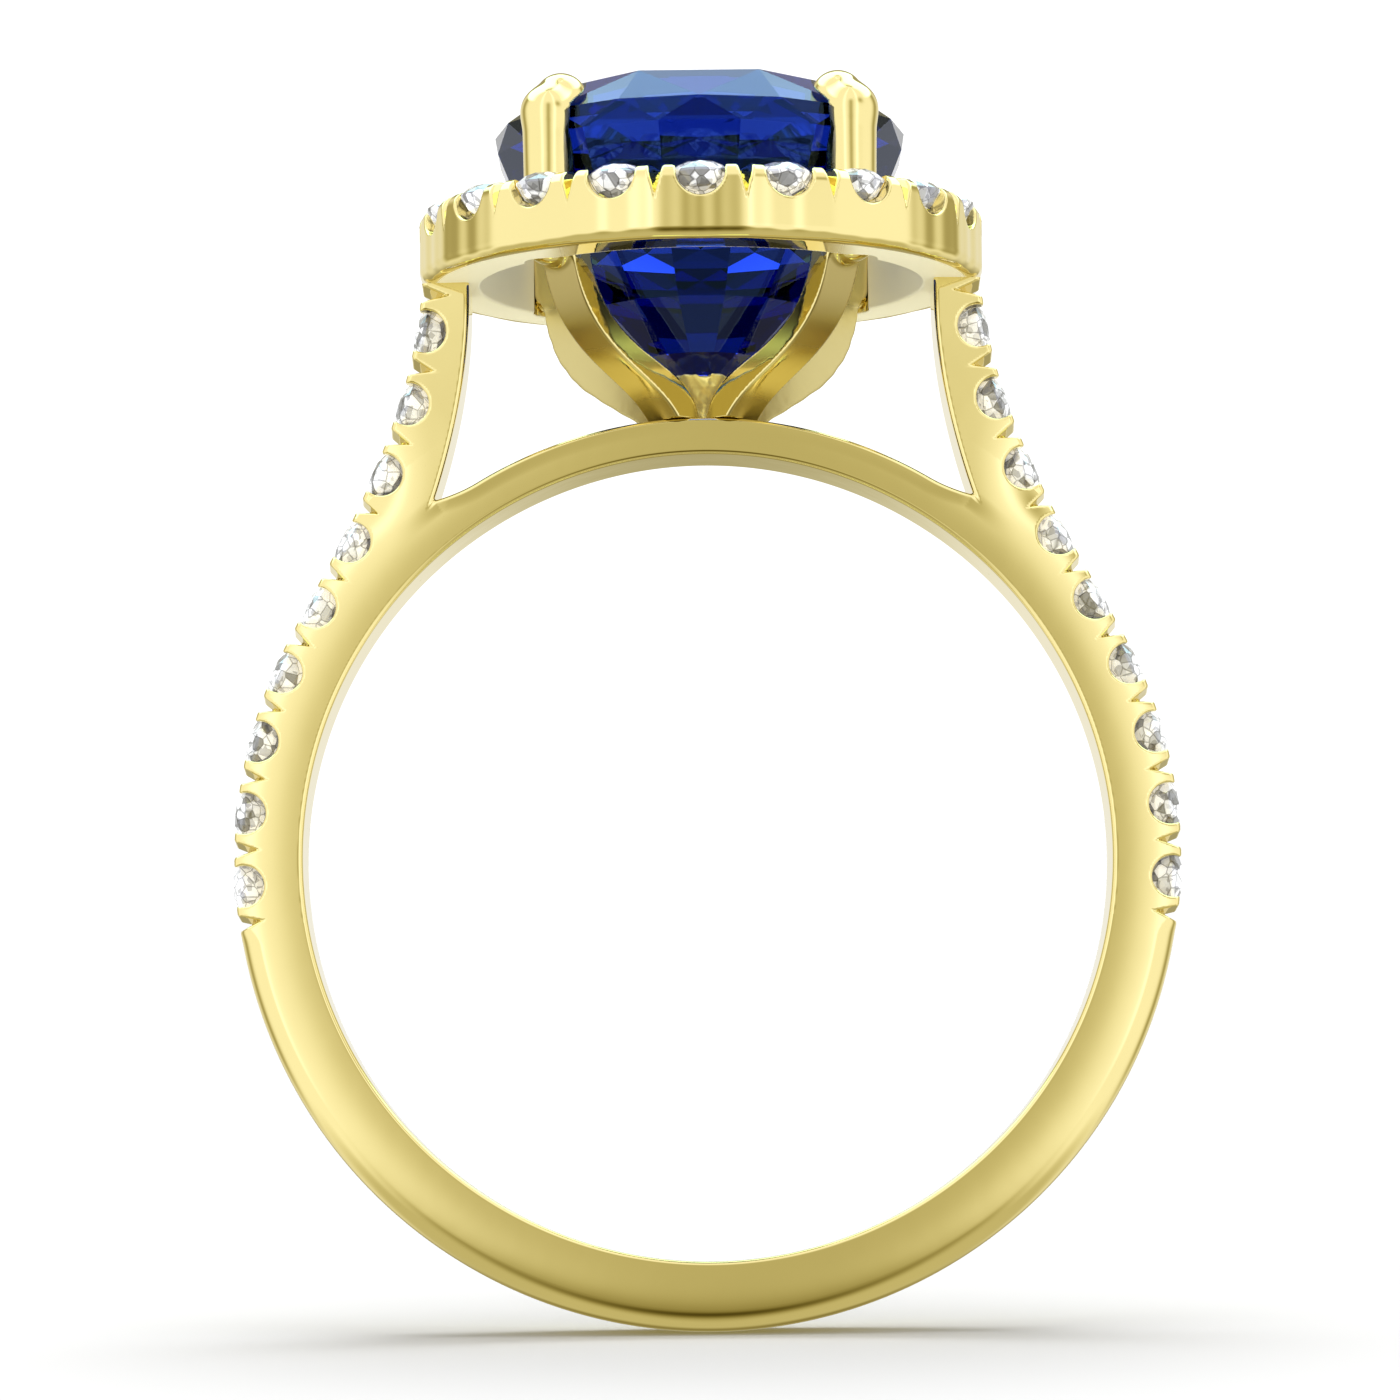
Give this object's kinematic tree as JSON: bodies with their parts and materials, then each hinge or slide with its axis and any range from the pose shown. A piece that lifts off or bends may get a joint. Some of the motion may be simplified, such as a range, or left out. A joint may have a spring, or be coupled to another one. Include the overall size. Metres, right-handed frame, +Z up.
{
  "type": "engagement ring",
  "caption": "Yellow gold finger ring with a round blue faceted centre stone in claws, a halo of small clear stones and stone-set cathedral shoulders.",
  "frame": {"origin": "centre of the finger bore, midway across the band", "axes": "+X to the wearer's right as seen from the front, +Y along the finger bore away from the viewer, +Z up through the centre stone"},
  "size_m": [0.02, 0.012, 0.0261],
  "materials": {
    "gold": "mirror-polished 18 carat yellow gold",
    "sapphire": "polished facets, deep royal blue",
    "diamond": "polished facets, colourless"
  },
  "bodies": {
    "root": {"shank": "gold", "shoulder_left": "gold", "shoulder_right": "gold", "bridge": "gold", "head_base": "gold", "claw_back_right": "gold", "claw_back_left": "gold", "claw_front_left": "gold", "claw_front_right": "gold", "halo": "gold", "sapphire": "sapphire", "halo_diamond_01": "diamond", "halo_diamond_02": "diamond", "halo_diamond_03": "diamond", "halo_diamond_04": "diamond", "halo_diamond_05": "diamond", "halo_diamond_06": "diamond", "halo_diamond_07": "diamond", "halo_diamond_08": "diamond", "halo_diamond_09": "diamond", "halo_diamond_10": "diamond", "halo_diamond_11": "diamond", "halo_diamond_12": "diamond", "halo_diamond_13": "diamond", "halo_diamond_14": "diamond", "halo_diamond_15": "diamond", "halo_diamond_16": "diamond", "halo_diamond_17": "diamond", "halo_diamond_18": "diamond", "halo_diamond_19": "diamond", "halo_diamond_20": "diamond", "shoulder_diamond_left_1": "diamond", "shoulder_diamond_left_2": "diamond", "shoulder_diamond_left_3": "diamond", "shoulder_diamond_left_4": "diamond", "shoulder_diamond_left_5": "diamond", "shoulder_diamond_left_6": "diamond", "shoulder_diamond_left_7": "diamond", "shoulder_diamond_left_8": "diamond", "shoulder_diamond_left_9": "diamond", "shoulder_diamond_right_1": "diamond", "shoulder_diamond_right_2": "diamond", "shoulder_diamond_right_3": "diamond", "shoulder_diamond_right_4": "diamond", "shoulder_diamond_right_5": "diamond", "shoulder_diamond_right_6": "diamond", "shoulder_diamond_right_7": "diamond", "shoulder_diamond_right_8": "diamond", "shoulder_diamond_right_9": "diamond"}
  },
  "joints": []
}
